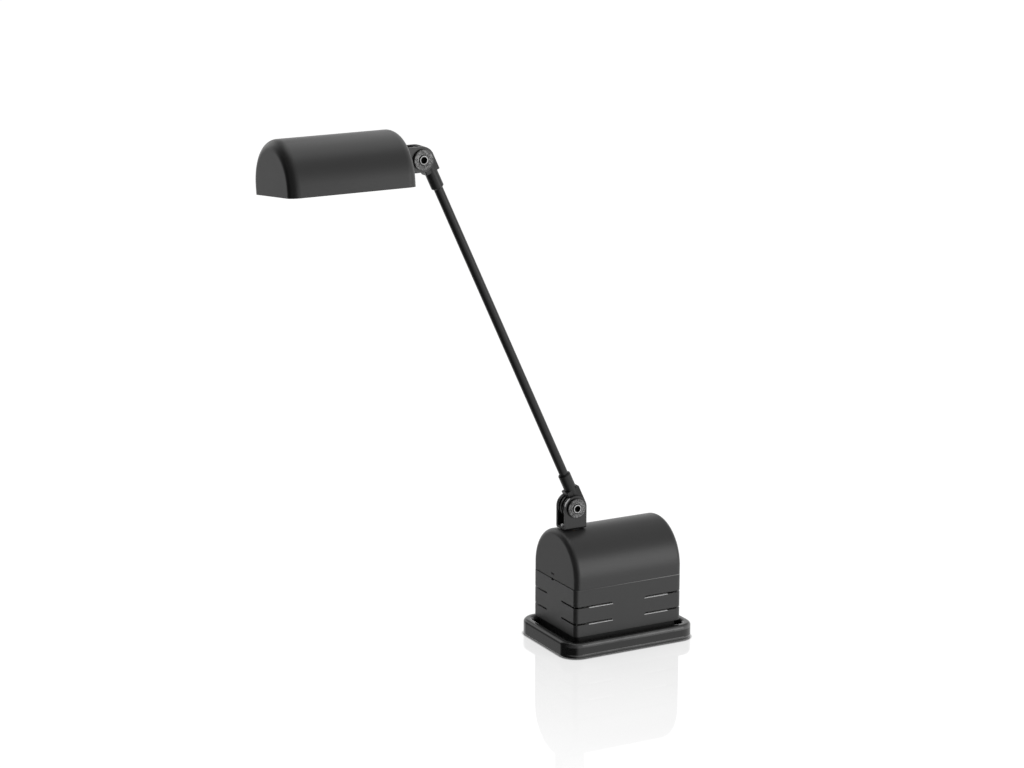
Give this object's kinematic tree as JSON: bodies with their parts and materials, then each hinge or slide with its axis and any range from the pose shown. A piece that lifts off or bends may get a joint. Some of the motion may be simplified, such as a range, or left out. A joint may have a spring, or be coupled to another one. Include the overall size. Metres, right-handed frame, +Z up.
{
  "type": "piano lamp",
  "caption": "Low-voltage lamp with a transformer base in a tray, a swivelling offset arm between forked friction pivots, a barrel-vaulted shade and a rocker switch.",
  "frame": {"origin": "centre of the anti-slip pad's underside, on the surface that the lamp stands on", "axes": "+Z up, +X along the base towards its switch end, so that the arm leans towards -X at rest, +Y across the base"},
  "size_m": [0.3627, 0.089, 0.4447],
  "materials": {
    "tray_enamel": "gloss black stove enamel",
    "pad_rubber": "matte black foam rubber",
    "plinth_plastic": "matte black moulded plastic",
    "body_paint": "matte anthracite powder coat with a fine texture",
    "zinc_steel": "zinc plated",
    "core_steel": "varnished lamination stack",
    "bobbin_plastic": "glass-filled moulded plastic",
    "winding_copper": "lacquered copper winding under clear tape",
    "block_plastic": "white moulded plastic",
    "brass": "turned brass",
    "fuse_glass": "clear glass with plated caps",
    "switch_plastic": "gloss black moulded plastic",
    "gland_rubber": "matte black rubber",
    "black_steel": "satin black stove enamel",
    "disc_steel": "textured black coating, worn light",
    "screw_black": "black oxide",
    "slip_plastic": "black slip plastic",
    "arm_paint": "satin black stove enamel",
    "conductor_copper": "bare copper",
    "jacket_plastic": "black insulation",
    "reflector_aluminium": "bright hammered anodised aluminium",
    "holder_ceramic": "unglazed white ceramic",
    "capsule_glass": "clear quartz",
    "spring_steel": "plain spring steel"
  },
  "bodies": {
    "base": {"base_tray": "tray_enamel", "anti_slip_pad": "pad_rubber", "plinth": "plinth_plastic", "lower_housing": "body_paint", "chassis_plate": "zinc_steel", "base_screws": "zinc_steel", "base_nuts": "zinc_steel", "top_cover": "body_paint", "cover_latches": "spring_steel", "stem_bracket": "zinc_steel", "chassis_screws": "zinc_steel", "transformer_core": "core_steel", "transformer_bobbin": "bobbin_plastic", "transformer_winding": "winding_copper", "transformer_clamp": "zinc_steel", "terminal_block": "block_plastic", "terminal_screws": "brass", "fuse_holder": "block_plastic", "fuse": "fuse_glass", "switch_body": "switch_plastic", "switch_blades": "brass", "cord_gland": "gland_rubber", "base_swivel_bush": "brass"},
    "switch": {"switch_rocker": "switch_plastic"},
    "lower_fork": {"base_fork": "black_steel", "base_lead_terminal": "zinc_steel", "base_swivel_stud": "screw_black", "base_swivel_washers": "slip_plastic", "base_swivel_spring": "spring_steel", "base_swivel_nut": "zinc_steel", "lower_pivot_screw": "screw_black", "lower_pivot_discs": "disc_steel", "lower_pivot_nut": "screw_black", "lower_friction_washers": "slip_plastic"},
    "arm": {"lower_knuckle": "arm_paint", "lower_pivot_bush": "brass", "arm_tube": "arm_paint", "inner_conductor": "conductor_copper", "conductor_jacket": "jacket_plastic", "conductor_spacers": "jacket_plastic", "upper_knuckle": "arm_paint", "upper_pivot_bush": "brass"},
    "upper_fork": {"head_fork": "black_steel", "head_swivel_stud": "screw_black", "head_swivel_washers": "slip_plastic", "head_swivel_spring": "spring_steel", "head_swivel_nut": "zinc_steel", "upper_pivot_screw": "screw_black", "upper_pivot_discs": "disc_steel", "upper_pivot_nut": "screw_black", "upper_friction_washers": "slip_plastic"},
    "head": {"shade": "body_paint", "head_swivel_bush": "brass", "lamp_carrier": "zinc_steel", "carrier_screws": "screw_black", "lamp_holder": "holder_ceramic", "halogen_capsule": "capsule_glass", "capsule_pins": "zinc_steel", "reflector": "reflector_aluminium", "closing_plate": "body_paint"}
  },
  "joints": [
    {"name": "switch_rock", "type": "hinge", "parent": "base", "child": "switch", "pos_m": [0.0484, 0, 0.043], "axis": [0, 0, 1], "range_deg": [-20, 0]},
    {"name": "base_swivel", "type": "hinge", "parent": "base", "child": "lower_fork", "pos_m": [-0.0353, 0, 0.1183], "axis": [0, 0, 1], "range_deg": [-175, 175]},
    {"name": "arm_tilt", "type": "hinge", "parent": "lower_fork", "child": "arm", "pos_m": [-0.0353, 0, 0.1183], "axis": [0, 1, 0], "range_deg": [-55.14, 104.86]},
    {"name": "head_tilt", "type": "hinge", "parent": "arm", "child": "upper_fork", "pos_m": [-0.17517, 0, 0.42017], "axis": [0, 1, 0], "range_deg": [-45, 90]},
    {"name": "head_roll", "type": "hinge", "parent": "upper_fork", "child": "head", "pos_m": [-0.17517, 0, 0.42017], "axis": [1, 0, 0.0087], "range_deg": [-84.1, 95.9]}
  ]
}
